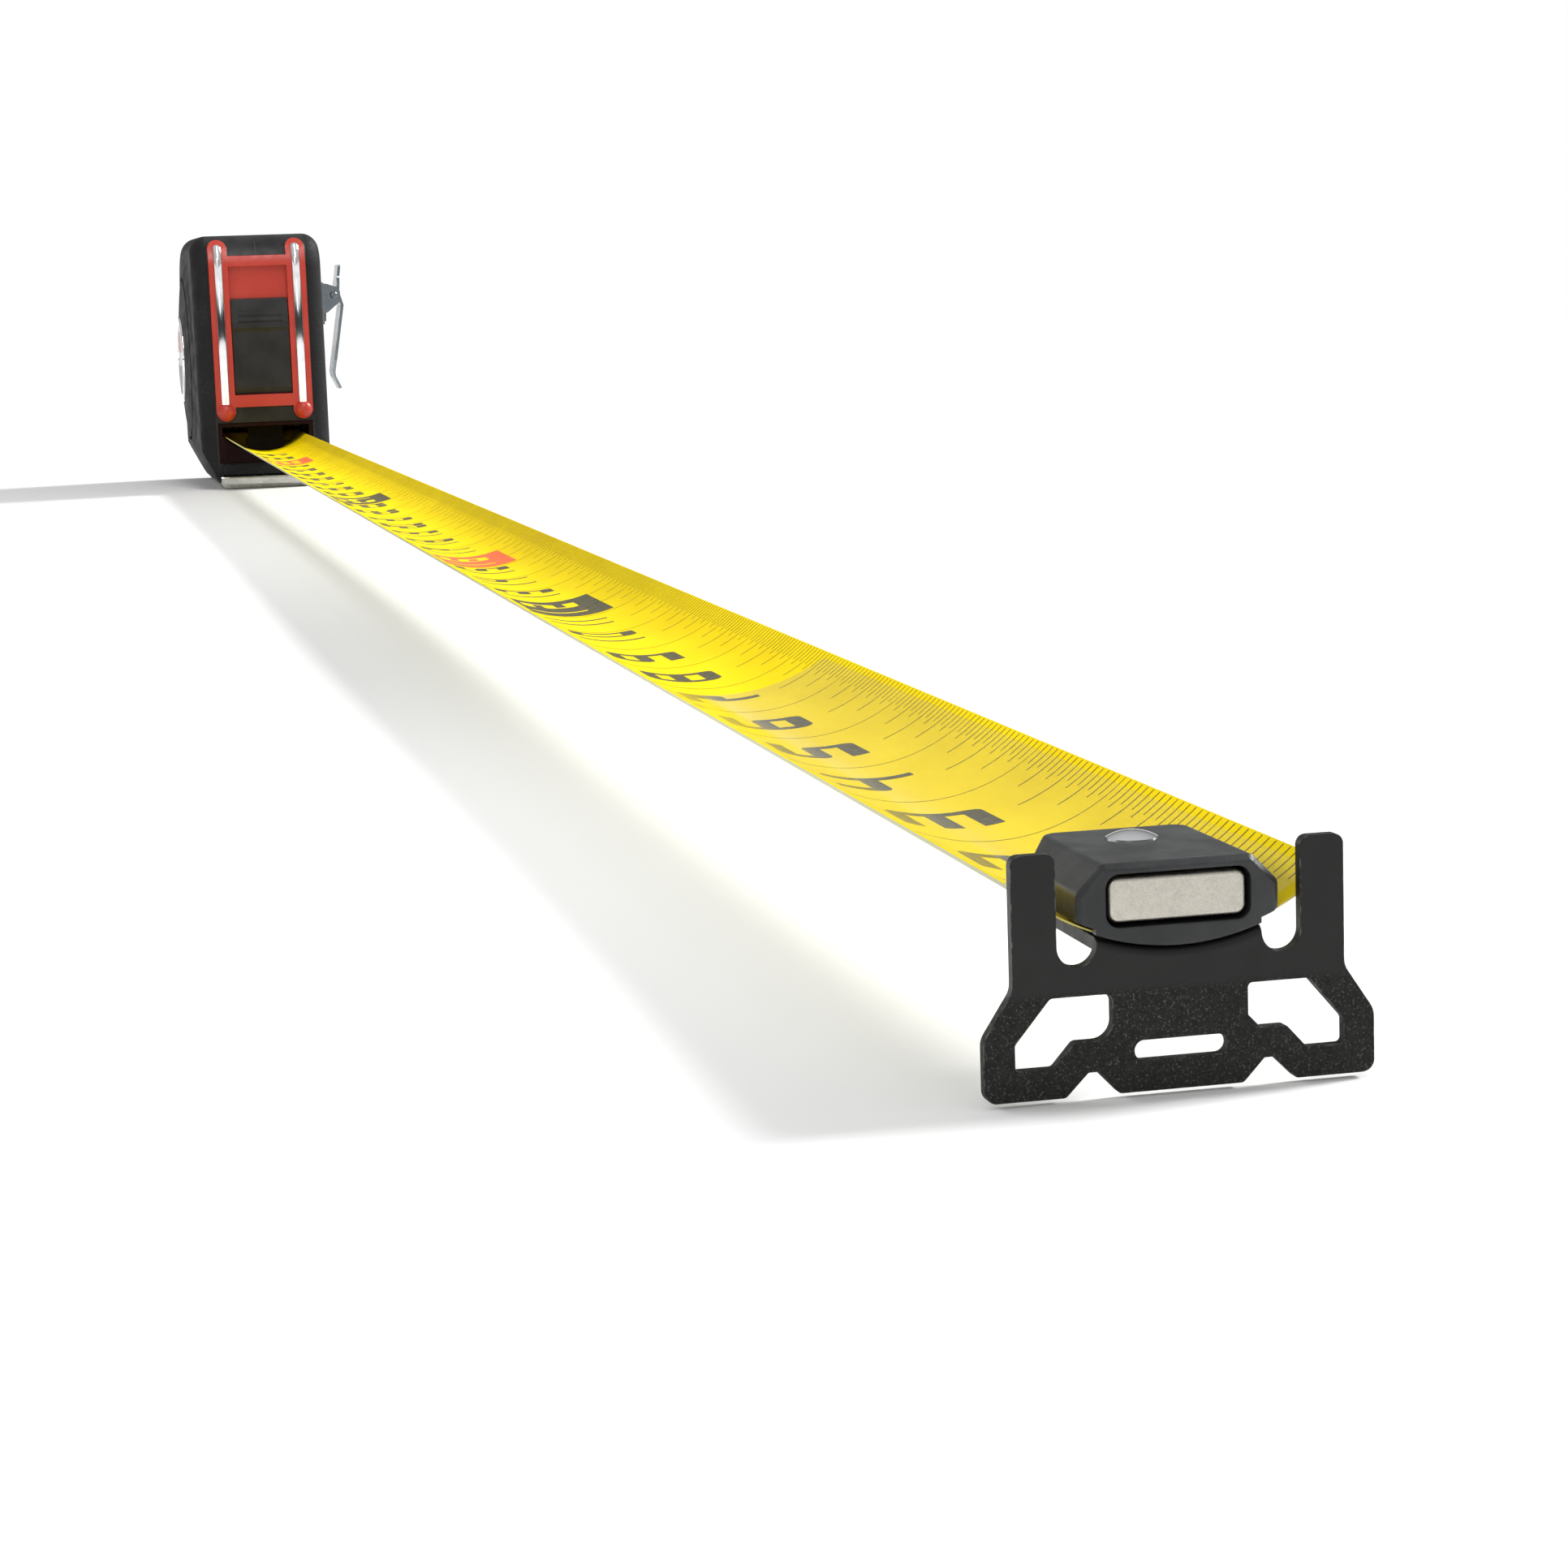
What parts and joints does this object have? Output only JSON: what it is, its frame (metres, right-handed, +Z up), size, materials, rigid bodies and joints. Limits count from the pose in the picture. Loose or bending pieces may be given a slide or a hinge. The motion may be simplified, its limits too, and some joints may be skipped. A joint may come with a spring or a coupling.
{
  "type": "tape measure",
  "caption": "Pocket tape measure on its foot, blade run out and locked, with a magnetic hook, thumb lock, front guard, spring reel and belt clip.",
  "frame": {"origin": "centre of the foot's flat underside, which the case stands on", "axes": "+Z up; the case's front faces -Y and the blade runs out along -Y; +X is the side with the belt clip"},
  "size_m": [0.0549, 0.9715, 0.082],
  "materials": {
    "black_rubber": "fine matte texture",
    "black_abs": "moulded satin",
    "red_abs": "moulded satin",
    "maroon_plastic": "moulded satin",
    "chrome": "polished",
    "foot_steel": "polished",
    "screw_steel": "blackened",
    "label_print": "printed label",
    "reel_nylon": "moulded",
    "bush_brass": "turned",
    "spring_steel": "rolled spring steel",
    "yellow_blade": "gloss coating, printed scale",
    "clear_film": "clear gloss",
    "hook_black": "textured black coat",
    "housing_black": "moulded satin",
    "magnet_nickel": "nickel plate"
  },
  "bodies": {
    "case": {"left_grip": "black_rubber", "right_grip": "black_rubber", "left_shell": "black_abs", "right_shell": "black_abs", "case_screws": "screw_steel", "foot_plate": "foot_steel", "foot_screws": "foot_steel", "rear_foot": "black_rubber", "side_badge": "chrome", "side_label": "label_print", "front_guard": "red_abs", "guard_rod_left": "chrome", "guard_rod_right": "chrome", "mouth_guide": "maroon_plastic", "mouth_bumper": "black_rubber", "reel_post": "spring_steel", "power_spring": "spring_steel", "clip_bracket": "spring_steel", "bracket_screws": "screw_steel", "clip_pin": "spring_steel", "clip_spring": "spring_steel"},
    "lock": {"lock_slider": "black_abs", "brake_tongue": "black_abs", "brake_pad": "black_rubber"},
    "reel": {"reel_drum": "reel_nylon", "reel_cover": "reel_nylon", "reel_bushes": "bush_brass", "blade_coil": "yellow_blade"},
    "blade": {"blade": "yellow_blade", "end_film": "clear_film"},
    "hook": {"end_hook": "hook_black", "magnet_housing": "housing_black", "hook_magnet": "magnet_nickel", "hook_rivet": "chrome"},
    "clip": {"belt_clip": "spring_steel"}
  },
  "joints": [
    {"name": "lock_slide", "type": "slide", "parent": "case", "child": "lock", "axis": [0, 0, 1], "range_m": [0, 0.008]},
    {"name": "reel_spin", "type": "hinge", "parent": "case", "child": "reel", "pos_m": [0, 0.004, 0.04507], "axis": [1, 0, 0], "range_deg": [-25, 50], "deforming": ["power_spring"]},
    {"name": "blade_travel", "type": "slide", "parent": "case", "child": "blade", "axis": [0, 1, 0], "range_m": [-0.0125, 0.0245]},
    {"name": "hook_float", "type": "slide", "parent": "blade", "child": "hook", "axis": [0, -1, 0], "range_m": [0, 0.0011]},
    {"name": "clip_hinge", "type": "hinge", "parent": "case", "child": "clip", "pos_m": [0.0276, 0, 0.0617], "axis": [0, -1, 0], "range_deg": [0, 8], "stiffness_Nm_per_rad": 0.12, "springref_deg": -11.46, "deforming": ["clip_spring"]}
  ],
  "couplings": [
    {"joint": "blade_travel", "follows": "reel_spin", "m_per_rad": 0.02757}
  ]
}
